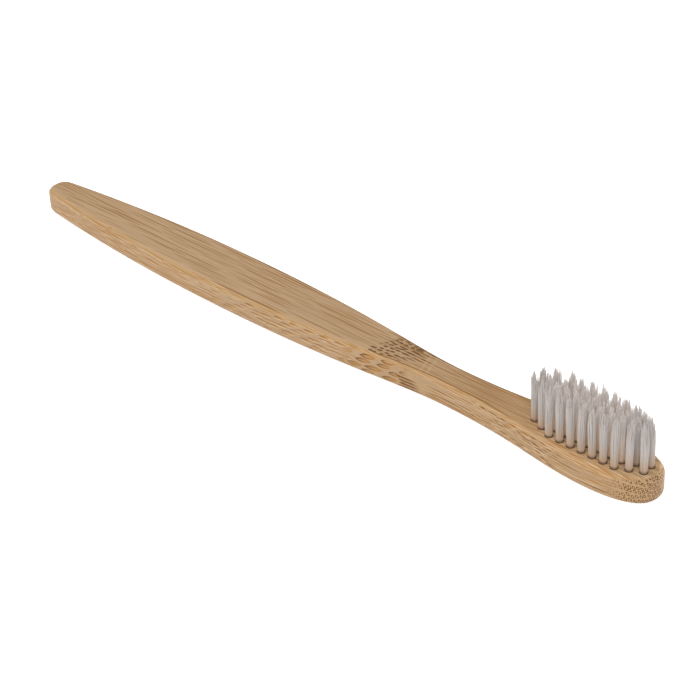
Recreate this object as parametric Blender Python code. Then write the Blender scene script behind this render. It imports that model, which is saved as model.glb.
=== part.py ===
"""A bamboo toothbrush: a one-piece flat handle, and nylon tufts folded over metal anchors in drilled holes.

The handle lies along X with its tip at +X, its back on Z = 0 and its bristles up.
"""

import math
import random

import bmesh
import bpy
from mathutils import Vector
from mathutils.geometry import interpolate_bezier

MM = 0.001

# Handle: a flat plate, cut to a plan outline and rounded along both rims
LENGTH = 175.0 * MM
THICKNESS = 6.0 * MM
RIM_RADIUS = 1.3 * MM
RIM_STEPS = 3

# Plan outline: places from the tail or the tip, and full widths there
TAIL_SHOULDER_AT = 3.3 * MM
TAIL_SHOULDER_WIDTH = 7.0 * MM
GRIP_AT = 60.0 * MM
GRIP_WIDTH = 14.2 * MM
NECK_FROM_TIP = 52.0 * MM
NECK_WIDTH = 7.2 * MM
HEAD_FROM_TIP = 14.6 * MM
HEAD_SIDE_WALL = 2.2 * MM

# How far each curve keeps its direction, as shares of the span or the half width that it runs over
TAIL_RISE_SHARE = 0.70
SHOULDER_BACK_SHARE = 0.53
SHOULDER_SLOPE_SHARE = 0.13
SHOULDER_AHEAD_SHARE = 0.16
GRIP_BACK_SHARE = 0.47
GRIP_AHEAD_SHARE = 0.59
NECK_BACK_SHARE = 0.21
NECK_AHEAD_SHARE = 0.53
HEAD_BACK_SHARE = 0.30
HEAD_AHEAD_SHARE = 0.49
TIP_RISE_SHARE = 0.82

# Points on each span of one side, from the tail end to the tip
SPAN_POINT_COUNTS = (8, 16, 14, 13, 13)

# Tuft field: how many tufts each row across the head holds, from the heel to the tip
ROW_TUFT_COUNTS = (2, 3, 4, 4, 4, 4, 4, 4, 4, 3, 2)
ROW_PITCH = 2.65 * MM
TUFT_PITCH = 2.33 * MM
LAST_ROW_FROM_TIP = 3.1 * MM

# Blind holes, each with a slot on both sides where the anchor's ends bite into the wall
HOLE_DIAMETER = 1.8 * MM
HOLE_DEPTH = 4.0 * MM
HOLE_ARC_POINTS = 6
FIT_CLEARANCE = 0.1 * MM

# Anchor: a flat slip of metal wire, turned away from the grain so that its slots don't meet
ANCHOR_LENGTH = 2.2 * MM
ANCHOR_THICKNESS = 0.3 * MM
ANCHOR_HEIGHT = 1.5 * MM
ANCHOR_LIFT = 0.6 * MM
ANCHOR_ANGLE = math.radians(45)

# Tuft: a folded bundle packed into the hole, and the strands that stand up from it
ROOT_SIDES = 8
ROOT_RECESS = 0.3 * MM
FOLD_SHARE = 0.45
BRISTLE_HEIGHT = 12.0 * MM
TIP_SCATTER = 1.1 * MM
TIP_TAPER = 1.2 * MM
STRAND_DIAMETER = 0.32 * MM
STRAND_SIDES = 3
STRAND_OVERLAP = 0.2 * MM
STRAND_INSET = 0.02 * MM
RING_STRAND_COUNTS = (3, 8)
INNER_RING_SHARE = 0.38
SPLAY_SHARE = 0.35

CUT_OVERRUN = 1.0 * MM
SCATTER_SEED = 7

TAIL_X = -LENGTH / 2
TIP_X = LENGTH / 2
NECK_X = TIP_X - NECK_FROM_TIP
HEAD_WIDTH = (max(ROW_TUFT_COUNTS) - 1) * TUFT_PITCH + HOLE_DIAMETER + 2 * HEAD_SIDE_WALL
ROOT_RADIUS = HOLE_DIAMETER / 2 - FIT_CLEARANCE


def clear_scene():
    for obj in list(bpy.data.objects):
        bpy.data.objects.remove(obj, do_unlink=True)


def make_material(name, colour, roughness, metallic=0.0):
    material = bpy.data.materials.new(name)
    material.use_nodes = True
    shader = material.node_tree.nodes["Principled BSDF"]
    shader.inputs["Base Color"].default_value = (*colour, 1.0)
    shader.inputs["Roughness"].default_value = roughness
    shader.inputs["Metallic"].default_value = metallic
    return material


def add_object(name, mesh, material=None):
    obj = bpy.data.objects.new(name, mesh)
    bpy.context.scene.collection.objects.link(obj)
    if material:
        mesh.materials.append(material)
    return obj


def add_helper(name, mesh):
    """An operand of a Boolean, which isn't a piece of the object."""
    helper = add_object(name, mesh)
    helper.hide_render = True
    helper.display_type = "WIRE"
    return helper


def add_boolean(obj, operand, operation):
    modifier = obj.modifiers.new(operation.title(), "BOOLEAN")
    modifier.operation = operation
    modifier.solver = "EXACT"
    modifier.object = operand


def mesh_from(name, build):
    """A mesh from a function that fills a bmesh with closed shapes."""
    shape = bmesh.new()
    build(shape)
    bmesh.ops.recalc_face_normals(shape, faces=shape.faces)
    mesh = bpy.data.meshes.new(name)
    shape.to_mesh(mesh)
    shape.free()
    return mesh


def add_stack(shape, rings):
    """A closed solid through rings of points, the first ring lowest."""
    loops = [[shape.verts.new(point) for point in ring] for ring in rings]
    shape.faces.new(reversed(loops[0]))
    for low, high in zip(loops, loops[1:]):
        for i in range(len(low)):
            j = (i + 1) % len(low)
            if len(high) > 1:
                shape.faces.new((low[i], low[j], high[j], high[i]))
            else:
                shape.faces.new((low[i], low[j], high[0]))
    if len(loops[-1]) > 1:
        shape.faces.new(loops[-1])


def ring_points(radius, sides, z, centre=(0.0, 0.0), turn=0.0, flatten=1.0):
    points = []
    for i in range(sides):
        angle = turn + math.tau * i / sides
        x = centre[0] + radius * math.cos(angle)
        y = centre[1] + radius * math.sin(angle) * flatten
        points.append(Vector((x, y, z)))
    return points


def side_outline():
    """The outline's points on the +Y side, from the tail end to the tip."""
    shoulder = Vector((TAIL_X + TAIL_SHOULDER_AT, TAIL_SHOULDER_WIDTH / 2))
    grip = Vector((TAIL_X + GRIP_AT, GRIP_WIDTH / 2))
    neck = Vector((NECK_X, NECK_WIDTH / 2))
    head = Vector((TIP_X - HEAD_FROM_TIP, HEAD_WIDTH / 2))
    tail_end = Vector((TAIL_X, 0.0))
    tip_end = Vector((TIP_X, 0.0))
    along = Vector((1.0, 0.0))
    outward = Vector((0.0, 1.0))
    widening = Vector((1.0, SHOULDER_SLOPE_SHARE))

    spans = (
        (
            tail_end,
            tail_end + outward * shoulder.y * TAIL_RISE_SHARE,
            shoulder - widening * TAIL_SHOULDER_AT * SHOULDER_BACK_SHARE,
            shoulder,
        ),
        (
            shoulder,
            shoulder + widening * (grip.x - shoulder.x) * SHOULDER_AHEAD_SHARE,
            grip - along * (grip.x - shoulder.x) * GRIP_BACK_SHARE,
            grip,
        ),
        (
            grip,
            grip + along * (neck.x - grip.x) * GRIP_AHEAD_SHARE,
            neck - along * (neck.x - grip.x) * NECK_BACK_SHARE,
            neck,
        ),
        (
            neck,
            neck + along * (head.x - neck.x) * NECK_AHEAD_SHARE,
            head - along * (head.x - neck.x) * HEAD_BACK_SHARE,
            head,
        ),
        (
            head,
            head + along * HEAD_FROM_TIP * HEAD_AHEAD_SHARE,
            tip_end + outward * head.y * TIP_RISE_SHARE,
            tip_end,
        ),
    )
    points = [tail_end]
    for span, count in zip(spans, SPAN_POINT_COUNTS):
        points += interpolate_bezier(*span, count)[1:]
    return points


def tuft_places():
    """Row number, place number and centre of each tuft, from the heel to the tip and across from -Y."""
    places = []
    last_x = TIP_X - LAST_ROW_FROM_TIP
    for row, count in enumerate(ROW_TUFT_COUNTS):
        x = last_x - (len(ROW_TUFT_COUNTS) - 1 - row) * ROW_PITCH
        for place in range(count):
            y = (place - (count - 1) / 2) * TUFT_PITCH
            places.append((row + 1, place + 1, Vector((x, y, THICKNESS))))
    return places


def hole_profile():
    """A round hole with the anchor's slots, as points in the plane, the anchor along X."""
    radius = HOLE_DIAMETER / 2
    slot_half = ANCHOR_THICKNESS / 2 + FIT_CLEARANCE
    slot_end = ANCHOR_LENGTH / 2 + FIT_CLEARANCE
    mouth = math.asin(slot_half / radius)
    step = (math.pi - 2 * mouth) / (HOLE_ARC_POINTS - 1)
    upper = [(slot_end, -slot_half), (slot_end, slot_half)]
    for i in range(HOLE_ARC_POINTS):
        angle = mouth + i * step
        upper.append((radius * math.cos(angle), radius * math.sin(angle)))
    lower = [(-x, -y) for x, y in upper]
    return upper + lower


def build_holes(shape):
    cos_turn = math.cos(ANCHOR_ANGLE)
    sin_turn = math.sin(ANCHOR_ANGLE)
    for _, _, centre in tuft_places():
        rings = []
        for z in (centre.z - HOLE_DEPTH, centre.z + CUT_OVERRUN):
            ring = []
            for x, y in hole_profile():
                turned_x = x * cos_turn - y * sin_turn
                turned_y = x * sin_turn + y * cos_turn
                ring.append(Vector((centre.x + turned_x, centre.y + turned_y, z)))
            rings.append(ring)
        add_stack(shape, rings)


def build_plate(shape):
    half = side_outline()
    mirrored = [Vector((point.x, -point.y)) for point in reversed(half[1:-1])]
    outline = half + mirrored
    outline.reverse()
    rings = [[Vector((point.x, point.y, z)) for point in outline] for z in (0.0, THICKNESS)]
    add_stack(shape, rings)


def make_handle(bamboo):
    handle = add_object("handle", mesh_from("handle", build_plate), bamboo)
    rim = handle.modifiers.new("Rim", "BEVEL")
    rim.width = RIM_RADIUS
    rim.segments = RIM_STEPS
    rim.limit_method = "ANGLE"
    rim.angle_limit = math.radians(60)
    handle.data.shade_smooth()
    handle.data.set_sharp_from_angle(angle=math.radians(40))
    add_boolean(handle, add_helper("tuft_holes", mesh_from("tuft_holes", build_holes)), "DIFFERENCE")
    return handle


def build_root(shape):
    """The folded bundle in the hole: round above the anchor, drawn in to the fold below it."""
    floor_z = -HOLE_DEPTH + FIT_CLEARANCE
    fold_z = -HOLE_DEPTH + ANCHOR_LIFT
    turn = math.pi / ROOT_SIDES
    rings = [
        ring_points(ROOT_RADIUS, ROOT_SIDES, floor_z, turn=turn, flatten=FOLD_SHARE),
        ring_points(ROOT_RADIUS, ROOT_SIDES, fold_z, turn=turn),
        ring_points(ROOT_RADIUS, ROOT_SIDES, -ROOT_RECESS, turn=turn),
    ]
    add_stack(shape, rings)


def add_anchor(shape):
    half_length = ANCHOR_LENGTH / 2
    half_thickness = ANCHOR_THICKNESS / 2
    low_z = -HOLE_DEPTH + ANCHOR_LIFT
    corners = ((half_length, -1), (half_length, 1), (-half_length, 1), (-half_length, -1))
    rings = []
    for z in (low_z, low_z + ANCHOR_HEIGHT):
        rings.append([Vector((x, side * half_thickness, z)) for x, side in corners])
    add_stack(shape, rings)


def add_strand(shape, radius_out, angle, turn, top_z):
    """A strand that leans out as it rises and ends in a point."""
    direction = Vector((math.cos(angle), math.sin(angle)))
    strand_radius = STRAND_DIAMETER / 2
    root_z = -ROOT_RECESS - STRAND_OVERLAP
    shoulder_z = top_z - TIP_TAPER

    def centre_at(z):
        risen_share = max(0.0, z) / BRISTLE_HEIGHT
        return direction * radius_out * (1.0 + SPLAY_SHARE * risen_share)

    rings = [
        ring_points(strand_radius, STRAND_SIDES, z, centre_at(z), turn)
        for z in (root_z, shoulder_z)
    ]
    tip = centre_at(top_z)
    rings.append([Vector((tip.x, tip.y, top_z))])
    add_stack(shape, rings)


def make_tuft(row, place, centre, nylon, chance):
    name = f"tuft_{row:02d}_{place}"
    root_flat_radius = ROOT_RADIUS * math.cos(math.pi / ROOT_SIDES)
    outer_radius = root_flat_radius - STRAND_DIAMETER / 2 - STRAND_INSET
    ring_radii = (outer_radius * INNER_RING_SHARE, outer_radius)

    def build_strands(shape):
        add_anchor(shape)
        for count, radius_out in zip(RING_STRAND_COUNTS, ring_radii):
            first = chance.uniform(0.0, math.tau)
            for i in range(count):
                angle = first + math.tau * i / count
                top_z = BRISTLE_HEIGHT - TIP_SCATTER * chance.random()
                add_strand(shape, radius_out, angle, angle, top_z)

    tuft = add_object(name, mesh_from(name, build_root), nylon)
    strands = add_helper(name + "_strands", mesh_from(name + "_strands", build_strands))
    add_boolean(tuft, strands, "UNION")
    strands.parent = tuft
    tuft.location = centre
    tuft.rotation_euler.z = ANCHOR_ANGLE
    return tuft


def main():
    clear_scene()
    bamboo = make_material("bamboo", (0.56, 0.38, 0.21), 0.55)
    nylon = make_material("nylon", (0.72, 0.69, 0.66), 0.40)
    handle = make_handle(bamboo)
    chance = random.Random(SCATTER_SEED)
    for row, place, centre in tuft_places():
        make_tuft(row, place, centre, nylon, chance).parent = handle


main()
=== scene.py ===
from collections import namedtuple
import math
import random
from types import SimpleNamespace

import bmesh
import bpy
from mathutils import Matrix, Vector
from mathutils.geometry import interpolate_bezier


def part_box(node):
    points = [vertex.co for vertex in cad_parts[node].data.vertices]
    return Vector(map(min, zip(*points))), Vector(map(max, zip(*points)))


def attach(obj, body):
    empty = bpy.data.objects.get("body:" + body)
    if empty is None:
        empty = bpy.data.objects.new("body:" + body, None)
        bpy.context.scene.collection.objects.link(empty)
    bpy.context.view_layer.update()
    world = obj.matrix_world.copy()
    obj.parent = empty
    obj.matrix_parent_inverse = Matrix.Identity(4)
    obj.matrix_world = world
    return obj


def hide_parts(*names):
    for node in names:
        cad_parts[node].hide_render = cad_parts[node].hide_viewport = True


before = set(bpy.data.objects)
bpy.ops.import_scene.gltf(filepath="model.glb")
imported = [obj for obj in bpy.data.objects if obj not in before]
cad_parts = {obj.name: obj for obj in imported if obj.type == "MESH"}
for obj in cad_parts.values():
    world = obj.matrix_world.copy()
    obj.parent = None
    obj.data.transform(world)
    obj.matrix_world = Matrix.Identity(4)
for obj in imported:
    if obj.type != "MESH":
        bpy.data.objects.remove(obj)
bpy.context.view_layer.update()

MM = 0.001

# Camera: where it looks, from which side, how far away and through which lens
AIM = Vector((29.48, -23.77, 22.53)) * MM
CAMERA_DISTANCE = 431.5 * MM
CAMERA_AZIMUTH = math.radians(43.62)
CAMERA_ELEVATION = math.radians(34.94)
CAMERA_ROLL = math.radians(-2.43)
CAMERA_CLIP = (0.01, 20.0)
LENS = 113.36
SENSOR = 36.0

# Light: the world is soft, and plain white to the camera, and the lamps face the middle of the object
WORLD_LIGHT = 0.55
LAMP_AIM = Vector((0.02, 0.0, 0.005))
LAMP_DISTANCE = 0.9

# Floor: it glows a little, so that it's white in the picture too
FLOOR_REACH = 3.0
FLOOR_DROP = 0.05 * MM
FLOOR_COLOUR = (0.80, 0.80, 0.80, 1.0)
FLOOR_GLOW = 0.70
WHITE = (1.0, 1.0, 1.0, 1.0)

# Handle: the CAD model's outline, with finer curves
HANDLE_LOW, HANDLE_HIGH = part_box("handle")
TAIL_X = HANDLE_LOW.x
TIP_X = HANDLE_HIGH.x
FACE_Z = HANDLE_HIGH.z
RIM_RADIUS = 1.3 * MM
RIM_STEPS = 8
RIM_ANGLE = math.radians(60)
SHARP_ANGLE = math.radians(40)
TAIL_SHOULDER_AT = 3.3 * MM
TAIL_SHOULDER_WIDTH = 7.0 * MM
GRIP_AT = 60.0 * MM
GRIP_WIDTH = HANDLE_HIGH.y - HANDLE_LOW.y
NECK_FROM_TIP = 52.0 * MM
NECK_WIDTH = 7.2 * MM
HEAD_FROM_TIP = 14.6 * MM
HEAD_SIDE_WALL = 2.2 * MM
TAIL_RISE_SHARE = 0.70
SHOULDER_BACK_SHARE = 0.53
SHOULDER_SLOPE_SHARE = 0.13
SHOULDER_AHEAD_SHARE = 0.16
GRIP_BACK_SHARE = 0.47
GRIP_AHEAD_SHARE = 0.59
NECK_BACK_SHARE = 0.21
NECK_AHEAD_SHARE = 0.53
HEAD_BACK_SHARE = 0.30
HEAD_AHEAD_SHARE = 0.49
TIP_RISE_SHARE = 0.82
SPAN_POINT_COUNTS = (20, 48, 48, 40, 40)

# Tuft field and its holes
ROW_TUFT_COUNTS = (2, 3, 4, 4, 4, 4, 4, 4, 4, 3, 2)
ROW_PITCH = 2.65 * MM
TUFT_PITCH = 2.33 * MM
LAST_ROW_FROM_TIP = 3.1 * MM
HOLE_RADIUS = 0.9 * MM
HOLE_DEPTH = 4.0 * MM
HOLE_POINTS = 40
SLOT_HALF_WIDTH = 0.25 * MM
SLOT_REACH = 1.2 * MM
SLOT_PLAY = 0.1 * MM
CUT_OVERRUN = 1.0 * MM

# Anchor: a flat slip of metal across each hole, and its foot's height as seen from the face
ANCHOR_LENGTH = 2.2 * MM
ANCHOR_THICKNESS = 0.3 * MM
ANCHOR_HEIGHT = 1.5 * MM
ANCHOR_LIFT = 0.7 * MM
ANCHOR_FOOT = ANCHOR_LIFT - HOLE_DEPTH
ANCHOR_ANGLE = math.radians(45)
ANCHOR_EDGE = 0.04 * MM
ANCHOR_EDGE_STEPS = 2

# Filaments: each is folded under the anchor and stands up twice
FILAMENT_RADIUS = 0.100 * MM
FILAMENT_PITCH = 0.170 * MM
FILAMENT_SIDES = 6
FIRST_ROW_AT = FILAMENT_PITCH / 2
BUNDLE_RADIUS = 0.82 * MM
ROOT_SHARE = 0.93
FOLD_STEPS = 6
FOLD_DEPTH_SHARE = 0.75
LEAVES_HOLE_AT = -0.2 * MM
RISE_SHARES = (0.25, 0.5, 0.7, 0.84, 0.93, 1.0)
SPLAY_SHARE = 0.24
SPLAY_POWER = 1.4

# Tips: they gather to a middle spike and to shorter ones round it, and end at uneven heights
TIP_TAPER = 2.4 * MM
TIP_RADIUS_SHARE = 0.35
TIP_SLOPE = 2.7
TIP_OVER = 0.98 * MM
TIP_SCATTER = 3.0 * MM
TIP_SCATTER_POWER = 1.5
GATHERED_SHARE = 0.15
STRAY_POWER = 2
GATHERED_POWER = 6
SIDE_SPIKES = 3
SIDE_SPIKE_TURN = 0.2
SIDE_SPIKE_OUT = (0.45, 0.9)

# Random draws: the seed, and in millimetres how far a spike falls short and how wide things scatter
SEED = 11
MIDDLE_SPIKE_SHORT = (0.0, 0.5)
SIDE_SPIKE_SHORT = (0.4, 2.2)
MIDDLE_SPIKE_SPREAD = 0.16
TUFT_LEAN = 0.10
TIP_STRAY = 0.05
LEG_BEND = 0.02

# Cane colours
BAMBOO_GROUND = (0.422, 0.268, 0.143, 1.0)
BAMBOO_PALE = (0.535, 0.362, 0.207, 1.0)
BAMBOO_STREAK = (0.285, 0.128, 0.024, 1.0)
BAMBOO_GOLD = (0.390, 0.200, 0.060, 1.0)
BAMBOO_SPOT = (0.400, 0.180, 0.035, 1.0)
BAMBOO_RIM = (0.440, 0.258, 0.102, 1.0)
BAMBOO_EDGE = (0.250, 0.105, 0.016, 1.0)
BAMBOO_BROWN = (0.205, 0.086, 0.015, 1.0)
BAMBOO_DARK = (0.125, 0.050, 0.006, 1.0)
BAMBOO_CORE = (0.640, 0.430, 0.225, 1.0)
BAMBOO_CREAM = (0.700, 0.500, 0.300, 1.0)
# The next colour is the rings' pale cores, and also painted light on the +Y side of the tip's end
BAMBOO_PITH_AND_PAINTED_LIGHT = (0.930, 0.640, 0.385, 1.0)

# Places along the handle in millimetres of X: where a feature starts, is full, fades and ends
TAIL_LINES_PLACE = (-88.0, -80.0, -34.0, -22.0)
GRIP_DASHES_PLACE = (-40.0, -24.0, 9.0, 15.0)
GRIP_EDGE_PLACE = (-30.0, -24.0, -12.0, -6.0)
LOOPS_PLACE = (9.0, 13.0, 24.5, 27.5)
NECK_EDGE_PLACE = (15.0, 19.0, 50.0, 56.0)
BUNCH_PLACE = (25.2, 26.0, 28.4, 31.4)
CROSSING_PLACES = ((28.0, 28.3, 28.4, 28.8), (29.6, 29.9, 30.0, 30.5))
LOW_RIBS_PLACE = (29.5, 33.5, 44.0, 49.0)
# Where a painted shadow of the tufts darkens the neck's face
NECK_PAINTED_SHADOW_PLACE = (34.0, 50.0, 57.0, 64.0)
HEAD_DASHES_PLACE = (41.0, 45.0, 64.0, 72.0)
# Where the inner tufts are painted lighter, as painted fill light
INNER_TUFTS_PLACE = (58.4, 61.4, 78.5, 82.5)

# The cane's node in millimetres of X, how it slants, and places counted from it in the same way
NODE_X = 15.6
NODE_SLANT = 0.45
NARROW_DOTS_PLACE = (-0.6, 0.2, 5.5, 9.0)
DOTS_PLACE = (-1.0, 0.0, 6.0, 9.0)
NODE_DASHES_PLACE = (4.0, 6.0, 9.0, 12.5)

# Kinds of line in the cane, in millimetres: length and pitch of their cells, half width, and an offset
Lines = namedtuple("Lines", "length pitch half_width shift")
LONG_STREAKS = Lines(22.0, 0.80, 0.17, 0.0)
SHORT_STREAKS = Lines(11.0, 0.53, 0.13, 40.0)
THIN_STREAKS = Lines(17.0, 0.37, 0.08, 80.0)
PALE_STREAKS = Lines(12.0, 0.48, 0.15, 120.0)
MARGIN_STREAKS = Lines(8.0, 0.52, 0.15, 160.0)
NODE_DASHES = Lines(4.4, 0.78, 0.18, 0.0)
TAIL_SHORT_LINES = Lines(6.0, 0.50, 0.13, 50.0)
TAIL_LONG_LINES = Lines(10.0, 0.62, 0.17, 0.0)
GRIP_DASHES = (Lines(5.4, 1.00, 0.165, 0.0), Lines(4.2, 0.80, 0.165, 2.52))
LOOPS = Lines(5.4, 1.30, 0.48, 0.0)
HEAD_DASHES = (Lines(3.8, 0.80, 0.165, 9.0), Lines(2.8, 0.64, 0.165, 14.3))
HEAD_LINES = Lines(11.0, 0.62, 0.155, 0.0)
RIM_LINES = Lines(9.0, 0.70, 0.14, 0.0)
HEAD_RIM_LINES = Lines(7.0, 0.58, 0.14, 20.0)
LINE_EDGE = (-0.03, 0.05)

# The lines of a loop in millimetres: how far each is over the loop's middle, and its half width
LOOP_LINE = (0.03, 0.11)
LOOP_TOP = (0.37, 0.23)
LOOP_FOOT = (-0.36, 0.21)

# Pitches of the ribs on the neck's side, in millimetres
BUNCH_PITCH = 0.74
LOW_RIBS_PITCH = 0.62

# Nylon colours, of the outer tufts and of the inner ones, which are painted lighter as painted fill
# light against the shade inside the tuft field, and the share of the lamps' light that passes
NYLON_WHITE = ((0.505, 0.464, 0.437, 1.0), (0.92, 0.842, 0.800, 1.0))
NYLON_GREY = ((0.479, 0.438, 0.412, 1.0), (0.87, 0.795, 0.752, 1.0))
# A painted brown reflection of the wood on the tufts' lower part, lighter on the inner tufts
NYLON_PAINTED_WOOD_REFLECTION = ((0.52, 0.345, 0.205, 1.0), (0.85, 0.605, 0.400, 1.0))
# A painted shade at the tufts' foot, where they go into the holes
NYLON_PAINTED_FOOT_SHADE = (0.165, 0.098, 0.055, 1.0)
NYLON_LIGHT_SHARE = 0.97

# The tuft field's middle and the reach of its full rows in millimetres of X, and how its ends draw in
FIELD_MIDDLE = 71.1
FIELD_REACH = 7.9
FIELD_DRAW_IN = 0.44

METAL_DARK = (0.62, 0.60, 0.55, 1.0)
METAL_PALE = (0.76, 0.74, 0.70, 1.0)

# Where points are in their spindles: off the middle line, along it, how full it is there, and its luck
Spindles = namedtuple("Spindles", "off along full luck")


class Graph:
    """A material's node tree, written as calls that take and give sockets or plain numbers."""

    def __init__(self, name):
        self.material = bpy.data.materials.new(name)
        self.material.use_nodes = True
        self.tree = self.material.node_tree
        self.shader = self.tree.nodes["Principled BSDF"]

    def node(self, kind, inputs=None, **settings):
        node = self.tree.nodes.new(kind)
        for key, value in settings.items():
            setattr(node, key, value)
        for key, value in (inputs or {}).items():
            self.feed(node.inputs[key], value)
        return node

    def feed(self, socket, value):
        if isinstance(value, bpy.types.NodeSocket):
            self.tree.links.new(value, socket)
        else:
            socket.default_value = value

    def feed_shader(self, values):
        for key, value in values.items():
            self.feed(self.shader.inputs[key], value)

    def math(self, operation, *values):
        return self.node("ShaderNodeMath", dict(enumerate(values)), operation=operation).outputs[0]

    def add(self, *values):
        total = values[0]
        for value in values[1:]:
            total = self.math("ADD", total, value)
        return total

    def times(self, *values):
        product = values[0]
        for value in values[1:]:
            product = self.math("MULTIPLY", product, value)
        return product

    def minus(self, value, less):
        return self.math("SUBTRACT", value, less)

    def rest_of(self, value):
        return self.minus(1.0, value)

    def greater(self, value, other):
        return self.math("MAXIMUM", value, other)

    def size_of(self, value):
        return self.math("ABSOLUTE", value)

    def clamp(self, value, low, high):
        return self.math("MINIMUM", self.greater(value, low), high)

    def step(self, value, low, high):
        """A smooth step of the value: 0 at low and 1 at high, which may be the lesser of the two."""
        inputs = {"Value": value, "From Min": low, "From Max": high}
        return self.node("ShaderNodeMapRange", inputs, interpolation_type="SMOOTHSTEP").outputs[0]

    def window(self, value, start, full, fade, end):
        """1 between full and fade, 0 before start and after end."""
        return self.times(self.step(value, start, full), self.step(value, end, fade))

    def ribs(self, value, pitch, low, high):
        """Even ribs, one in each pitch, where the sine is over a smooth step from low to high."""
        return self.step(self.math("SINE", self.times(value, math.tau / pitch)), low, high)

    def combine(self, x, y, z):
        return self.node("ShaderNodeCombineXYZ", {"X": x, "Y": y, "Z": z}).outputs[0]

    def noise(self, x, y, z, detail=2.0, roughness=0.5):
        """Noise around zero, from about -0.5 to 0.5."""
        place = self.combine(x, y, z)
        inputs = {"Vector": place, "Scale": 1.0, "Detail": detail, "Roughness": roughness}
        return self.minus(self.node("ShaderNodeTexNoise", inputs).outputs["Fac"], 0.5)

    def cells(self, u, v, randomness):
        """Voronoi cells, one in each unit of area, by the names of the node's outputs."""
        inputs = {"Vector": self.combine(u, v, 0.0), "Scale": 1.0, "Randomness": randomness}
        return self.node("ShaderNodeTexVoronoi", inputs, voronoi_dimensions="2D").outputs

    def mix(self, share, first, second):
        return self.node("ShaderNodeMix", {0: share, 6: first, 7: second}, data_type="RGBA").outputs[2]

    def paint(self, colour, over, *shares):
        """The colour with another one over it, as strong as the product of the shares."""
        return self.mix(self.times(*shares), colour, over)

    def spindles(self, along, across, kind):
        """Spindles in staggered cells, one in each, with the same luck on every run."""
        v = self.times(self.add(across, kind.shift), 1.0 / kind.pitch)
        row = self.math("FLOOR", v)
        chance = self.node("ShaderNodeTexWhiteNoise", {"W": row}, noise_dimensions="1D").outputs["Value"]
        stagger = (self.times(row, 0.618), self.times(chance, 0.25))
        u = self.add(self.times(along, 1.0 / kind.length), *stagger)
        column = self.math("FLOOR", u)
        place = self.combine(column, row, 0.0)
        chances = self.node("ShaderNodeTexWhiteNoise", {"Vector": place}, noise_dimensions="2D").outputs

        # Each spindle has a place and a length of its own in its cell
        luck = self.node("ShaderNodeSeparateColor", {0: chances["Color"]}).outputs
        in_u = self.add(u, self.times(column, -1.0), -0.56, self.times(luck[0], 0.12))
        in_v = self.add(v, self.times(row, -1.0), -0.58, self.times(luck[2], 0.16))
        ratio = self.math("DIVIDE", in_u, self.add(0.30, self.times(luck[1], 0.16)))
        full = self.rest_of(self.times(ratio, ratio))
        return Spindles(self.times(in_v, kind.pitch), ratio, full, chances["Value"])

    def outlined(self, cells, rise, half_width, share=None):
        """A line along each spindle or a share of them, this far over its middle, thin at both ends."""
        off = self.size_of(self.minus(cells.off, self.times(cells.full, rise)))
        blunt = self.math("SQRT", self.greater(cells.full, 0.0))
        line = self.step(self.minus(self.times(blunt, half_width), off), *LINE_EDGE)
        if share is None:
            return line
        low = self.rest_of(share)
        return self.times(line, self.step(cells.luck, low, self.add(low, 0.40)))

    def streaks(self, along, across, kind, share):
        return self.outlined(self.spindles(along, across, kind), 0.0, kind.half_width, share)

    def cut_bundles(self, colour, cells, kind, tone, place):
        """Bundles of fibre cut at a slant: on each spindle a dark line over a pale one."""
        pale = self.outlined(cells, -2.0 * kind.half_width, kind.half_width, 0.8)
        dark = self.outlined(cells, 0.5 * kind.half_width, kind.half_width, 0.8)
        colour = self.paint(colour, BAMBOO_CREAM, pale, place, 0.50)
        return self.paint(colour, tone, dark, place, 0.95)

    def place_in_mm(self):
        """The point's X, Y and Z in millimetres, in the object's own frame."""
        place = self.node("ShaderNodeTexCoord").outputs["Object"]
        scaled = self.node("ShaderNodeVectorMath", {0: place, "Scale": 1.0 / MM}, operation="SCALE")
        return self.node("ShaderNodeSeparateXYZ", {0: scaled.outputs[0]}).outputs[:3]


def read_handle(g):
    """Where a point of the handle is, which way it faces, and the fibres that run through it."""
    s = SimpleNamespace()
    s.x, s.y, s.z = g.place_in_mm()
    normal = g.node("ShaderNodeNewGeometry").outputs["Normal"]
    facing = g.node("ShaderNodeSeparateXYZ", {0: normal}).outputs
    s.level = g.size_of(facing[2])
    s.flat = g.step(s.level, 0.80, 0.97)
    s.tip_end = g.step(facing[0], 0.06, 0.36)
    s.tail_end = g.step(facing[0], -0.30, -0.70)
    s.body = g.rest_of(s.tip_end)
    s.on_side = g.times(g.step(s.level, 0.75, 0.50), s.body)
    s.rim = g.window(s.level, 0.40, 0.66, 0.90, 0.985)
    s.far_share = g.step(s.y, -6.0, 5.0)
    s.head = g.step(s.x, 40.0, 62.0)

    # How far past the cane's node, whose edge crosses the handle at a slant
    s.wobble = g.noise(0.0, g.times(s.y, 0.35), g.times(s.z, 0.35))
    slant = g.times(g.add(s.y, 4.0), -NODE_SLANT)
    s.past_node = g.add(s.x, -NODE_X, slant, g.times(s.wobble, 2.0))

    # The fibres wander slowly, and the two sides show different ones
    along, across, up = g.times(s.x, 0.022), g.times(s.y, 0.14), g.times(s.z, 0.14)
    s.fibre_y = g.add(s.y, g.times(g.noise(along, across, up), 0.9))
    s.fibre_z = g.add(s.z, g.times(g.noise(along, g.add(across, 31.0), up), 1.3))
    s.fine = g.noise(g.times(s.x, 0.035), g.times(s.y, 2.9), g.times(s.z, 2.9), roughness=0.6)
    s.height = g.add(s.fibre_z, g.times(s.fine, 0.12), g.times(g.step(s.y, -1.0, 1.0), 31.5))
    return s


def colour_ground(g, s):
    cloud = g.noise(g.times(s.x, 0.035), g.times(s.y, 0.25), g.times(s.z, 0.25))
    tint = g.add(0.45, g.times(cloud, 1.1), g.times(s.fine, 1.3), g.times(s.head, 0.25))
    tint = g.add(tint, g.times(s.on_side, g.add(-0.12, g.times(s.head, -0.60))))
    return g.mix(tint, BAMBOO_GROUND, BAMBOO_PALE)


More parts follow.
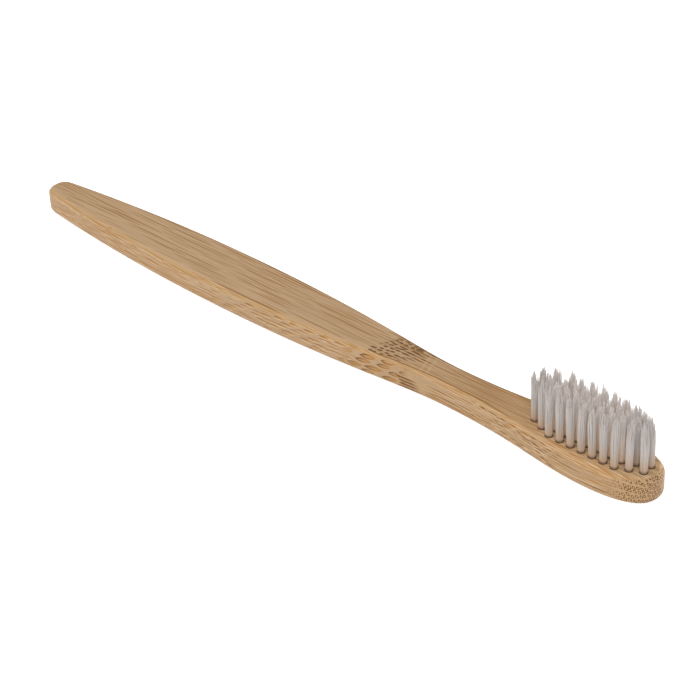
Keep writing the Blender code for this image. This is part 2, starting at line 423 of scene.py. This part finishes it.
def colour_faces(g, s, colour):
    """Long streaks, more of them towards the cane's outside at +Y and on the neck."""
    share = g.add(0.55, g.times(s.far_share, 0.30), g.times(g.step(s.x, 24.0, 34.0), 0.15))
    long_ones = g.streaks(s.x, s.fibre_y, LONG_STREAKS, share)
    short_ones = g.times(g.streaks(s.x, s.fibre_y, SHORT_STREAKS, share), 0.75)
    thin_ones = g.times(g.streaks(s.x, s.fibre_y, THIN_STREAKS, 0.6), 0.45)
    streaks = g.greater(g.greater(long_ones, short_ones), thin_ones)
    colour = g.paint(colour, g.mix(s.head, BAMBOO_STREAK, BAMBOO_GOLD), streaks, s.flat, 0.82)

    # The head is paler, with gold along its near margin
    pale_ones = g.streaks(s.x, s.fibre_y, PALE_STREAKS, 0.9)
    colour = g.paint(colour, BAMBOO_CREAM, pale_ones, s.flat, s.head, 0.9)
    near_margin = g.times(g.step(s.y, -3.0, -4.8), s.flat, s.head)
    gold_ones = g.streaks(s.x, s.fibre_y, MARGIN_STREAKS, 0.9)
    return g.paint(colour, BAMBOO_SPOT, gold_ones, near_margin, 0.95)


def colour_node(g, s, colour):
    """At the node each bundle comes up through the face as a dot, and farther on as a dash."""
    steep = g.clamp(s.past_node, 0.0, 5.5)
    gentle = g.clamp(g.add(s.past_node, -5.5), 0.0, 8.0)
    rise = g.add(g.times(steep, 0.70), g.times(gentle, 0.28))
    per_mm = 1.02
    crowding = 0.030
    spread = g.math("EXPONENT", g.times(s.fibre_y, crowding))
    cell_u = g.times(spread, per_mm / crowding)
    cell_v = g.add(g.times(g.add(s.fibre_z, -3.0), spread, per_mm), g.times(rise, -per_mm))
    cells = g.cells(cell_u, cell_v, 0.62)
    centre = g.node("ShaderNodeSeparateXYZ", {0: cells["Position"]}).outputs
    luck = g.node("ShaderNodeSeparateColor", {0: cells["Color"]}).outputs

    # The first dots are narrow and solid, and the others have a pale core
    narrow = g.times(g.window(s.past_node, *NARROW_DOTS_PLACE), s.flat)
    off_u = g.times(g.minus(cell_u, centre[0]), g.add(1.0, g.times(narrow, 0.45)))
    off_v = g.minus(cell_v, centre[1])
    reach = g.math("SQRT", g.add(g.times(off_u, off_u), g.times(off_v, off_v)))
    depth = g.minus(g.add(0.40, g.times(luck[1], 0.07)), reach)
    core = g.times(g.step(depth, 0.22, 0.30), g.rest_of(g.times(narrow, 0.9)))
    place = g.window(s.past_node, *DOTS_PLACE)
    s.dots = g.times(g.step(depth, 0.0, 0.06), g.rest_of(core), s.flat, place)
    colour = g.paint(colour, BAMBOO_DARK, s.dots, 0.92)

    dashes = g.streaks(s.x, s.fibre_y, NODE_DASHES, 0.95)
    place = g.times(g.window(s.past_node, *NODE_DASHES_PLACE), s.flat)
    return g.paint(colour, g.mix(s.far_share, BAMBOO_BROWN, BAMBOO_DARK), dashes, place, 0.95)


def colour_neck(g, s, colour):
    """Two pale lines cross the neck's face just past the node, and farther on, beside the tufts, a
    painted shadow of the tufts darkens it.
    """
    crossing = g.add(s.x, g.times(s.y, 0.33), g.times(s.wobble, 1.2))
    crossed = g.add(*[g.window(crossing, *place) for place in CROSSING_PLACES])
    colour = g.paint(colour, BAMBOO_CREAM, crossed, s.flat, 0.20)
    # Painted shadow of the tufts on the neck's face, just before the head
    return g.paint(colour, BAMBOO_STREAK, g.window(s.x, *NECK_PAINTED_SHADOW_PLACE), s.flat, 0.40)


def colour_sides(g, s, colour):
    """The sides cut across the fibres: threads all along, lines on the tail and dashes on the grip."""
    on_tail = g.times(g.step(s.x, -18.0, -40.0), 0.35)
    on_head = g.times(g.step(s.x, 44.0, 52.0), 0.30)
    place = g.times(g.add(0.25, on_tail, on_head), s.on_side)
    colour = g.paint(colour, BAMBOO_GOLD, g.step(s.fine, 0.02, 0.12), place)
    colour = g.paint(colour, BAMBOO_CREAM, g.step(s.fine, -0.04, -0.14), place)

    place = g.times(s.on_side, g.window(s.x, *TAIL_LINES_PLACE))
    for kind, tone in ((TAIL_SHORT_LINES, BAMBOO_GOLD), (TAIL_LONG_LINES, BAMBOO_SPOT)):
        colour = g.cut_bundles(colour, g.spindles(s.x, s.height, kind), kind, tone, place)
    place = g.times(s.on_side, g.window(s.x, *GRIP_DASHES_PLACE))
    for kind in GRIP_DASHES:
        dashes = g.spindles(g.add(s.x, kind.shift), s.height, kind)
        tone = g.mix(g.step(dashes.along, -0.9, 0.6), BAMBOO_BROWN, BAMBOO_SPOT)
        colour = g.cut_bundles(colour, dashes, kind, tone, place)
    return colour


def colour_loops(g, s, colour):
    """On the sides at the node each bundle is cut to a loop: a pale inside, a line and two edges."""
    climb = g.times(g.clamp(s.x, 2.0, 24.0), -0.10)
    loops = g.spindles(s.x, g.add(s.height, climb), LOOPS)
    place = g.times(s.on_side, g.window(s.x, *LOOPS_PLACE))
    tone = g.mix(g.step(loops.along, -0.9, 0.6), BAMBOO_DARK, BAMBOO_SPOT)
    s.loop_tops = g.times(g.outlined(loops, *LOOP_TOP), place)
    colour = g.paint(colour, BAMBOO_CORE, g.outlined(loops, 0.0, LOOPS.half_width), place, 0.60)
    colour = g.paint(colour, BAMBOO_SPOT, g.outlined(loops, *LOOP_LINE), place, 0.85)
    colour = g.paint(colour, tone, g.outlined(loops, *LOOP_FOOT), place, 0.98)
    return g.paint(colour, tone, s.loop_tops, 0.95)


def colour_ribs(g, s, colour):
    """Close ribs on the sides: a bunch past the node, and lines along the neck's low edge."""
    ragged = g.noise(0.0, 0.0, g.times(s.z, 2.6))
    bunch = g.window(g.add(s.x, g.times(s.z, 0.5), g.times(ragged, 2.5)), *BUNCH_PLACE)
    bunch = g.times(bunch, g.step(s.z, 3.7, 3.3), s.on_side)
    colour = g.paint(colour, BAMBOO_SPOT, bunch, 0.30)
    colour = g.paint(colour, BAMBOO_DARK, bunch, g.ribs(s.z, BUNCH_PITCH, -0.45, 0.15), 0.95)

    low_edge = g.step(g.add(s.z, g.times(s.x, 0.02)), 3.3, 2.7)
    place = g.window(g.add(s.x, g.times(ragged, 5.0)), *LOW_RIBS_PLACE)
    low_ribs = g.times(low_edge, place, g.ribs(s.z, LOW_RIBS_PITCH, -0.55, 0.05))
    return g.paint(colour, BAMBOO_STREAK, low_ribs, s.on_side, 0.90)


def colour_head_side(g, s, colour):
    """Short dashes in clumps, and long lines."""
    clumps = g.noise(g.times(s.x, 0.16), 0.0, g.times(s.height, 0.45), detail=1.0)
    patches = g.times(g.window(s.x, *HEAD_DASHES_PLACE), g.step(clumps, -0.20, -0.08), s.on_side)
    for kind in HEAD_DASHES:
        dashes = g.spindles(g.add(s.x, kind.shift), s.height, kind)
        tone = g.mix(g.step(dashes.luck, 0.4, 0.9), BAMBOO_SPOT, BAMBOO_BROWN)
        colour = g.cut_bundles(colour, dashes, kind, tone, patches)
    lines = g.spindles(s.x, s.height, HEAD_LINES)
    tone = g.mix(g.step(lines.luck, 0.70, 0.90), BAMBOO_SPOT, BAMBOO_BROWN)
    place = g.times(s.on_side, g.step(s.x, 30.0, 34.0), g.rest_of(g.times(patches, 0.9)))
    return g.cut_bundles(colour, lines, HEAD_LINES, tone, place)


def colour_tip(g, s, colour):
    """Rings of cut bundles on the tip's end, with painted light that makes the end and its rings paler
    towards +Y, and faint ones on the tail's.
    """
    back = g.add(TIP_X / MM, g.times(g.size_of(s.x), -1.0))
    around = g.add(s.y, g.times(g.math("SIGN", s.y), back, 0.8))
    crowding = 0.03
    per_mm = g.times(g.math("EXPONENT", g.times(around, crowding)), 1.15)
    cell_v = g.times(s.z, per_mm)
    cell_u = g.add(g.times(per_mm, 1.0 / crowding), g.times(cell_v, 0.5))
    depth = g.minus(0.41, g.cells(cell_u, cell_v, 0.40)["Distance"])
    on_end = g.times(g.add(s.tip_end, g.times(s.tail_end, 0.35)), g.step(s.level, 0.985, 0.85))
    s.rings = g.times(g.step(depth, 0.0, 0.07), g.step(depth, 0.29, 0.21), on_end)
    pith = g.times(g.step(depth, 0.21, 0.29), on_end)

    # Painted light: towards +Y the end is paler, its rings lighter and fainter and their cores stronger,
    # and towards -Y it is more golden
    painted_light = g.step(s.y, -1.5, 4.0)
    ring_tone = g.mix(g.window(s.y, -6.5, -3.5, 0.0, 3.0), BAMBOO_BROWN, BAMBOO_DARK)
    ring_tone = g.mix(g.step(s.y, 0.5, 3.5), ring_tone, BAMBOO_SPOT)
    colour = g.paint(colour, BAMBOO_GOLD, s.tip_end, g.rest_of(painted_light), 0.30)
    colour = g.paint(colour, BAMBOO_PITH_AND_PAINTED_LIGHT, s.tip_end, painted_light, 0.90)
    colour = g.paint(colour, ring_tone, s.rings, g.add(0.94, g.times(painted_light, -0.34)))
    return g.paint(colour, BAMBOO_PITH_AND_PAINTED_LIGHT, pith, g.add(0.30, g.times(painted_light, 0.50)))


def colour_rim(g, s, colour):
    """The rounded rim is a deeper gold, with fine lines, deeper spots and a line at its inner edge."""
    quiet = g.times(s.rim, g.rest_of(g.times(s.tip_end, 0.9)), g.rest_of(g.times(s.head, 0.55)))
    colour = g.paint(colour, BAMBOO_RIM, quiet, 0.60)
    around = g.minus(g.add(s.fibre_z, g.times(s.fine, 0.2)), g.size_of(s.y))
    on_rim = g.times(s.rim, s.body, 0.9)
    on_head = g.times(g.window(s.level, 0.35, 0.50, 0.985, 0.998), s.body, s.head)
    for kind, tone, place in ((RIM_LINES, BAMBOO_GOLD, on_rim), (HEAD_RIM_LINES, BAMBOO_SPOT, on_head)):
        colour = g.cut_bundles(colour, g.spindles(s.x, around, kind), kind, tone, place)

    spots = g.noise(g.times(s.x, 0.30), g.times(s.y, 1.3), g.times(s.z, 1.3), detail=1.0)
    colour = g.paint(colour, BAMBOO_SPOT, quiet, g.step(spots, 0.10, 0.20), 0.50)
    edge = g.window(s.level, 0.90, 0.94, 0.982, 0.996)
    edge_places = g.add(g.window(s.x, *GRIP_EDGE_PLACE), g.window(s.x, *NECK_EDGE_PLACE))
    return g.paint(colour, BAMBOO_EDGE, edge, edge_places, s.body, 0.85)


def make_bamboo():
    """Bundles of fibre run along the handle, and the cane's node crosses it just before the neck."""
    g = Graph("bamboo")
    s = read_handle(g)
    colour = colour_ground(g, s)
    on_faces = (colour_faces, colour_node, colour_neck)
    on_sides = (colour_sides, colour_loops, colour_ribs, colour_head_side)
    for paint_over in on_faces + on_sides + (colour_tip, colour_rim):
        colour = paint_over(g, s, colour)

    dents = g.add(g.times(s.dots, -0.8), g.times(s.rings, -0.7), g.times(s.loop_tops, -0.7))
    relief = g.add(g.times(s.fine, 0.6), dents)
    bump = g.node("ShaderNodeBump", {"Height": relief, "Strength": 0.35, "Distance": 0.03 * MM})
    roughness = g.add(g.times(s.fine, 0.15), 0.52)
    g.feed_shader({"Base Color": colour, "Normal": bump.outputs[0], "Roughness": roughness})
    g.feed_shader({"Specular IOR Level": 0.32})
    return g.material


def make_nylon():
    """Milky filaments that let much of the light through to each other, with a painted reflection of the
    wood on their lower part, painted fill light inside the tuft field and painted shade at their foot.
    """
    g = Graph("bristle_nylon")
    x, y, z = g.place_in_mm()
    lift = g.add(z, -FACE_Z / MM)
    high = g.step(lift, 4.5, 8.5)

    # How far inside the tuft field, whose near side draws in at both ends
    past_full_rows = g.greater(g.add(g.size_of(g.add(x, -FIELD_MIDDLE)), -FIELD_REACH), 0.0)
    from_near_side = g.minus(y, g.times(past_full_rows, FIELD_DRAW_IN))
    inner = g.times(g.step(from_near_side, -4.2, -1.6), g.window(x, *INNER_TUFTS_PLACE))
    # The inner tufts, and a little the tops and the tufts near the tip, take the lighter inner colours:
    # painted fill light against the shade inside the field
    outer = g.greater(g.times(high, 0.20), g.times(g.step(x, 78.0, 82.0), 0.20))
    painted_fill = g.greater(g.times(inner, g.add(1.0, g.times(high, -0.60))), outer)

    streak = g.noise(g.times(x, 3.2), g.times(y, 3.2), g.times(z, 0.08))
    grey = g.mix(painted_fill, *NYLON_GREY)
    colour = g.mix(g.add(g.times(streak, 1.2), 0.5), grey, g.mix(painted_fill, *NYLON_WHITE))
    # Painted reflection of the wood: browner up to 5.5 mm over the face, and up to 10 mm on the inner
    # tufts
    low = g.greater(g.step(lift, 5.5, -0.2), g.times(g.step(lift, 10.0, -0.2), inner))
    wood_reflection = g.mix(inner, *NYLON_PAINTED_WOOD_REFLECTION)
    colour = g.paint(colour, wood_reflection, low, g.add(0.74, g.times(inner, 0.10)))
    # Painted shade at the tufts' foot, in the lowest 0.85 mm over the face
    colour = g.paint(colour, NYLON_PAINTED_FOOT_SHADE, g.step(lift, 0.85, 0.0), 0.92)
    shadow = g.node("ShaderNodeLightPath").outputs["Is Shadow Ray"]
    g.feed_shader({"Base Color": colour, "Alpha": g.rest_of(g.times(shadow, NYLON_LIGHT_SHARE))})
    g.feed_shader({"Roughness": 0.45, "IOR": 1.53, "Specular IOR Level": 0.3})
    return g.material


def make_metal():
    g = Graph("anchor_metal")
    x, y, z = g.place_in_mm()
    scratch = g.noise(g.times(x, 6.0), g.times(y, 6.0), g.times(z, 0.8), detail=3.0)
    colour = g.mix(g.add(scratch, 0.5), METAL_DARK, METAL_PALE)
    roughness = g.add(g.times(scratch, 0.3), 0.35)
    g.feed_shader({"Base Color": colour, "Roughness": roughness, "Metallic": 1.0})
    return g.material


def side_outline():
    """The outline's points on the +Y side, from the tail end to the tip."""
    head_width = (max(ROW_TUFT_COUNTS) - 1) * TUFT_PITCH + 2 * (HOLE_RADIUS + HEAD_SIDE_WALL)
    shoulder = Vector((TAIL_X + TAIL_SHOULDER_AT, TAIL_SHOULDER_WIDTH / 2))
    grip = Vector((TAIL_X + GRIP_AT, GRIP_WIDTH / 2))
    neck = Vector((TIP_X - NECK_FROM_TIP, NECK_WIDTH / 2))
    head = Vector((TIP_X - HEAD_FROM_TIP, head_width / 2))
    tail_end = Vector((TAIL_X, 0.0))
    tip_end = Vector((TIP_X, 0.0))
    along = Vector((1.0, 0.0))
    outward = Vector((0.0, 1.0))
    widening = Vector((1.0, SHOULDER_SLOPE_SHARE))

    spans = (
        (
            tail_end,
            tail_end + outward * shoulder.y * TAIL_RISE_SHARE,
            shoulder - widening * TAIL_SHOULDER_AT * SHOULDER_BACK_SHARE,
            shoulder,
        ),
        (
            shoulder,
            shoulder + widening * (grip.x - shoulder.x) * SHOULDER_AHEAD_SHARE,
            grip - along * (grip.x - shoulder.x) * GRIP_BACK_SHARE,
            grip,
        ),
        (
            grip,
            grip + along * (neck.x - grip.x) * GRIP_AHEAD_SHARE,
            neck - along * (neck.x - grip.x) * NECK_BACK_SHARE,
            neck,
        ),
        (
            neck,
            neck + along * (head.x - neck.x) * NECK_AHEAD_SHARE,
            head - along * (head.x - neck.x) * HEAD_BACK_SHARE,
            head,
        ),
        (
            head,
            head + along * HEAD_FROM_TIP * HEAD_AHEAD_SHARE,
            tip_end + outward * head.y * TIP_RISE_SHARE,
            tip_end,
        ),
    )
    points = [tail_end]
    for span, count in zip(spans, SPAN_POINT_COUNTS):
        points += interpolate_bezier(*span, count)[1:]
    return points


def tuft_places():
    """Each tuft's CAD node name and the centre of its hole on the face."""
    places = []
    last_x = TIP_X - LAST_ROW_FROM_TIP
    for row, count in enumerate(ROW_TUFT_COUNTS):
        x = last_x - (len(ROW_TUFT_COUNTS) - 1 - row) * ROW_PITCH
        for place in range(count):
            y = (place - (count - 1) / 2) * TUFT_PITCH
            places.append((f"{row + 1:02d}_{place + 1}", Vector((x, y, FACE_Z))))
    return places


def add_piece(name, mesh, material, replaces=None):
    piece = bpy.data.objects.new(name, mesh)
    bpy.context.scene.collection.objects.link(piece)
    mesh.materials.append(material)
    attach(piece, "root")
    if replaces:
        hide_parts(replaces)
    return piece


def add_prism(shape, outline, low_z, high_z):
    low = [shape.verts.new((x, y, low_z)) for x, y in outline]
    high = [shape.verts.new((x, y, high_z)) for x, y in outline]
    shape.faces.new(reversed(low))
    shape.faces.new(high)
    for i in range(len(low)):
        j = (i + 1) % len(low)
        shape.faces.new((low[i], low[j], high[j], high[i]))


def mesh_of(name, shape):
    bmesh.ops.recalc_face_normals(shape, faces=shape.faces)
    mesh = bpy.data.meshes.new(name)
    shape.to_mesh(mesh)
    shape.free()
    return mesh


def turned_to_anchor(centre, points):
    """Points given along and across the anchor, moved to the tuft's place."""
    cos_turn = math.cos(ANCHOR_ANGLE)
    sin_turn = math.sin(ANCHOR_ANGLE)
    turned = []
    for x, y in points:
        turned.append((centre.x + x * cos_turn - y * sin_turn, centre.y + x * sin_turn + y * cos_turn))
    return turned


def bar_outline(centre, half_length, half_width):
    corners = ((1, -1), (1, 1), (-1, 1), (-1, -1))
    return turned_to_anchor(centre, [(i * half_length, j * half_width) for i, j in corners])


def round_outline(centre, radius, count):
    angles = [math.tau * i / count for i in range(count)]
    return [(centre.x + radius * math.cos(a), centre.y + radius * math.sin(a)) for a in angles]


def cut_prisms(piece, outlines, low_z, high_z):
    """Cuts an upright prism of each outline out of the piece, by a modifier, and returns the cutter."""
    shape = bmesh.new()
    for outline in outlines:
        add_prism(shape, outline, low_z, high_z)
    cutter = bpy.data.objects.new("cutter", mesh_of("cutter", shape))
    bpy.context.scene.collection.objects.link(cutter)
    cut = piece.modifiers.new("Cut", "BOOLEAN")
    cut.object = cutter
    return cutter


def make_handle(bamboo):
    half = side_outline()
    outline = [(p.x, p.y) for p in half] + [(p.x, -p.y) for p in reversed(half[1:-1])]
    outline.reverse()
    plate = bmesh.new()
    add_prism(plate, outline, 0.0, FACE_Z)
    handle = add_piece("handle_bamboo", mesh_of("handle_bamboo", plate), bamboo, "handle")

    rim = handle.modifiers.new("Rim", "BEVEL")
    rim.width = RIM_RADIUS
    rim.segments = RIM_STEPS
    rim.limit_method = "ANGLE"
    rim.angle_limit = RIM_ANGLE
    centres = [centre for _, centre in tuft_places()]
    holes = [round_outline(centre, HOLE_RADIUS, HOLE_POINTS) for centre in centres]
    slots = [bar_outline(centre, SLOT_REACH, SLOT_HALF_WIDTH) for centre in centres]
    slot_floor = FACE_Z + ANCHOR_FOOT - SLOT_PLAY
    cutters = (
        cut_prisms(handle, holes, FACE_Z - HOLE_DEPTH, FACE_Z + CUT_OVERRUN),
        cut_prisms(handle, slots, slot_floor, slot_floor + ANCHOR_HEIGHT + 2 * SLOT_PLAY),
    )

    # The rim and the cuts become the handle's own mesh
    bpy.context.view_layer.update()
    graph = bpy.context.evaluated_depsgraph_get()
    finished = bpy.data.meshes.new_from_object(handle.evaluated_get(graph))
    handle.modifiers.clear()
    handle.data = finished
    for cutter in cutters:
        bpy.data.objects.remove(cutter)
    finished.shade_smooth()
    finished.set_sharp_from_angle(angle=SHARP_ANGLE)
    even = handle.modifiers.new("Even", "WEIGHTED_NORMAL")
    even.keep_sharp = True


def leg_places():
    """Where filaments leave the hole on the anchor's +Y side: a close packing in half a circle."""
    places = []
    reach = BUNDLE_RADIUS - FILAMENT_RADIUS
    row_gap = FILAMENT_PITCH * math.sqrt(3) / 2
    row_count = int((reach - FIRST_ROW_AT) / row_gap) + 1
    half_count = int(reach / FILAMENT_PITCH) + 1
    for row in range(row_count):
        y = FIRST_ROW_AT + row * row_gap
        offset = FILAMENT_PITCH / 2 if row % 2 else 0.0
        for i in range(-half_count, half_count + 1):
            x = i * FILAMENT_PITCH + offset
            if math.hypot(x, y) <= reach:
                places.append((x, y))
    return places


def root_place(x, y):
    """Where a filament that leaves the hole at this place passes the anchor."""
    inner = ANCHOR_THICKNESS / 2 + FILAMENT_RADIUS
    outer = HOLE_RADIUS - FILAMENT_RADIUS
    share = (abs(y) - FIRST_ROW_AT) / (BUNDLE_RADIUS - FILAMENT_RADIUS - FIRST_ROW_AT)
    return x * ROOT_SHARE, math.copysign(inner + share * (outer - inner), y)


def scattered(chance, spread):
    """A random move across the tuft, whose spread is in millimetres."""
    return Vector((chance.gauss(0.0, spread), chance.gauss(0.0, spread))) * MM


def spikes_of(chance):
    """The points that a tuft's tips gather to: places across the tuft and how far each falls short."""
    turn = chance.uniform(0.0, math.tau)
    place = scattered(chance, MIDDLE_SPIKE_SPREAD)
    spikes = [(place, chance.uniform(*MIDDLE_SPIKE_SHORT) * MM)]
    for i in range(SIDE_SPIKES):
        step = i + chance.uniform(-SIDE_SPIKE_TURN, SIDE_SPIKE_TURN)
        angle = turn + math.tau * step / SIDE_SPIKES
        out = BUNDLE_RADIUS * (1.0 + SPLAY_SHARE) * chance.uniform(*SIDE_SPIKE_OUT)
        place = Vector((math.cos(angle), math.sin(angle))) * out
        spikes.append((place, chance.uniform(*SIDE_SPIKE_SHORT) * MM))
    return spikes


def leg_path(x, y, chance, lean, spikes, top):
    """Points from the anchor's foot up to the tip, in the tuft's own frame, the face at zero."""
    root_x, root_y = root_place(x, y)
    at_face = Vector((x, y))
    splayed = at_face * (1.0 + SPLAY_SHARE)
    spike, short = min(spikes, key=lambda s: s[1] + TIP_SLOPE * (s[0] - splayed).length)
    to_spike = spike - splayed
    scatter = TIP_SCATTER * chance.random() ** TIP_SCATTER_POWER
    height = top - short - TIP_SLOPE * to_spike.length - scatter
    stray = scattered(chance, TIP_STRAY)
    bend = scattered(chance, LEG_BEND)
    gathered = to_spike * GATHERED_SHARE
    points = [Vector((root_x, root_y, z)) for z in (ANCHOR_FOOT, ANCHOR_FOOT + ANCHOR_HEIGHT)]
    points.append(Vector((x, y, LEAVES_HOLE_AT)))
    for share in RISE_SHARES:
        spot = at_face.lerp(splayed + lean, share**SPLAY_POWER) + bend * math.sin(math.pi * share)
        spot += stray * share**STRAY_POWER + gathered * share**GATHERED_POWER
        points.append(Vector((spot.x, spot.y, height * share)))
    return points


def filament_path(x, y, chance, lean, spikes, top):
    """One filament: down one leg, under the anchor and up the other leg."""
    legs = [leg_path(x, side * y, chance, lean, spikes, top) for side in (1.0, -1.0)]
    root_x, root_y = root_place(x, y)
    fold = []
    for i in range(1, FOLD_STEPS):
        angle = math.pi * i / FOLD_STEPS
        drop = root_y * FOLD_DEPTH_SHARE * math.sin(angle)
        fold.append(Vector((root_x, root_y * math.cos(angle), ANCHOR_FOOT - drop)))
    return list(reversed(legs[0])) + fold + legs[1]


def tube_along(points, radii, sides, vertices, faces):
    """Adds a closed tube through the points to the lists of vertices and faces."""
    start = len(vertices)
    across = Vector((1.0, 0.0, 0.0))
    for i, (point, radius) in enumerate(zip(points, radii)):
        ahead = (points[min(i + 1, len(points) - 1)] - points[max(i - 1, 0)]).normalized()
        up = ahead.cross(across).normalized()
        out = up.cross(ahead).normalized()
        for k in range(sides):
            angle = math.tau * k / sides
            vertices.append(point + radius * (math.cos(angle) * out + math.sin(angle) * up))
    for i in range(len(points) - 1):
        for k in range(sides):
            a = start + i * sides + k
            b = start + i * sides + (k + 1) % sides
            faces.append((a, a + sides, b + sides, b))
    last = start + (len(points) - 1) * sides
    faces.append([start + k for k in range(sides)])
    faces.append([last + sides - 1 - k for k in range(sides)])


def tapered_radii(points):
    """A filament's radius at each point, thinner towards the tip of the point's own leg."""
    radii = []
    for i, point in enumerate(points):
        leg_top = points[0].z if i < len(points) / 2 else points[-1].z
        taper_share = min(1.0, max(0.0, (leg_top - point.z) / TIP_TAPER))
        radii.append(FILAMENT_RADIUS * (TIP_RADIUS_SHARE + (1.0 - TIP_RADIUS_SHARE) * taper_share))
    return radii


def make_tuft(name, centre, nylon, top, chance):
    vertices = []
    faces = []
    lean = scattered(chance, TUFT_LEAN)
    spikes = spikes_of(chance)
    for x, y in leg_places():
        points = filament_path(x, y, chance, lean, spikes, top)
        tube_along(points, tapered_radii(points), FILAMENT_SIDES, vertices, faces)
    turned = turned_to_anchor(centre, [(v.x, v.y) for v in vertices])
    placed = [(x, y, centre.z + vertex.z) for (x, y), vertex in zip(turned, vertices)]
    mesh = bpy.data.meshes.new("bristles_" + name)
    mesh.from_pydata(placed, [], faces)
    mesh.shade_smooth()
    add_piece("bristles_" + name, mesh, nylon, "tuft_" + name)


def make_anchor(name, centre, metal):
    shape = bmesh.new()
    foot = centre.z + ANCHOR_FOOT
    outline = bar_outline(centre, ANCHOR_LENGTH / 2, ANCHOR_THICKNESS / 2)
    add_prism(shape, outline, foot, foot + ANCHOR_HEIGHT)
    edges = shape.edges[:]
    bmesh.ops.bevel(shape, geom=edges, offset=ANCHOR_EDGE, segments=ANCHOR_EDGE_STEPS, affect="EDGES")
    add_piece("anchor_" + name, mesh_of("anchor_" + name, shape), metal)


def make_stage():
    floor_mesh = bpy.data.meshes.new("floor")
    signs = ((-1, -1), (1, -1), (1, 1), (-1, 1))
    corners = [(i * FLOOR_REACH, j * FLOOR_REACH, -FLOOR_DROP) for i, j in signs]
    floor_mesh.from_pydata(corners, [], [(0, 1, 2, 3)])
    floor = bpy.data.objects.new("floor", floor_mesh)
    bpy.context.scene.collection.objects.link(floor)

    g = Graph("floor_white")
    g.feed_shader({"Base Color": FLOOR_COLOUR, "Roughness": 0.9, "Specular IOR Level": 0.0})
    rays = g.node("ShaderNodeLightPath").outputs
    seen = g.greater(rays["Is Camera Ray"], rays["Is Glossy Ray"])
    seen = g.greater(seen, rays["Is Transmission Ray"])
    glow = g.node("ShaderNodeEmission", {"Color": WHITE, "Strength": g.times(seen, FLOOR_GLOW)})
    both = g.node("ShaderNodeAddShader", {0: g.shader.outputs[0], 1: glow.outputs[0]})
    output = next(n for n in g.tree.nodes if n.type == "OUTPUT_MATERIAL")
    g.feed(output.inputs["Surface"], both.outputs[0])
    floor_mesh.materials.append(g.material)


def add_light(name, direction, size, power):
    """A soft light in the shape of a rectangle, which faces the middle of the object."""
    light = bpy.data.lights.new(name, "AREA")
    light.shape = "RECTANGLE"
    light.size, light.size_y = size
    light.energy = power
    lamp = bpy.data.objects.new(name, light)
    lamp.location = LAMP_AIM + Vector(direction).normalized() * LAMP_DISTANCE
    lamp.rotation_euler = (LAMP_AIM - lamp.location).to_track_quat("-Z", "Y").to_euler()
    bpy.context.scene.collection.objects.link(lamp)


def make_lights():
    add_light("key", (0.55, -0.75, 0.75), (0.8, 0.5), 4.3)
    add_light("over", (-0.60, -0.20, 0.80), (0.5, 0.5), 2.2)
    world = bpy.data.worlds.new("studio")
    bpy.context.scene.world = world
    world.use_nodes = True
    tree = world.node_tree
    background = tree.nodes["Background"]
    background.inputs["Color"].default_value = WHITE
    path = tree.nodes.new("ShaderNodeLightPath")
    strength = tree.nodes.new("ShaderNodeMapRange")
    strength.inputs["To Min"].default_value = WORLD_LIGHT
    strength.inputs["To Max"].default_value = 1.0
    tree.links.new(path.outputs["Is Camera Ray"], strength.inputs["Value"])
    tree.links.new(strength.outputs[0], background.inputs["Strength"])


def make_camera():
    data = bpy.data.cameras.new("camera")
    data.lens = LENS
    data.sensor_width = SENSOR
    data.clip_start, data.clip_end = CAMERA_CLIP
    camera = bpy.data.objects.new("camera", data)
    away = Vector(
        (
            math.sin(CAMERA_AZIMUTH) * math.cos(CAMERA_ELEVATION),
            -math.cos(CAMERA_AZIMUTH) * math.cos(CAMERA_ELEVATION),
            math.sin(CAMERA_ELEVATION),
        )
    )
    camera.location = AIM + away * CAMERA_DISTANCE
    camera.rotation_euler = (-away).to_track_quat("-Z", "Y").to_euler()
    camera.rotation_euler.rotate_axis("Z", CAMERA_ROLL)
    bpy.context.scene.collection.objects.link(camera)
    bpy.context.scene.camera = camera


def main():
    bpy.context.scene.view_settings.view_transform = "Standard"
    make_camera()
    make_lights()
    make_stage()
    bamboo = make_bamboo()
    nylon = make_nylon()
    metal = make_metal()
    make_handle(bamboo)
    chance = random.Random(SEED)
    top = max(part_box("tuft_" + name)[1].z for name, _ in tuft_places()) - FACE_Z + TIP_OVER
    for name, centre in tuft_places():
        make_tuft(name, centre, nylon, top, chance)
        make_anchor(name, centre, metal)


main()
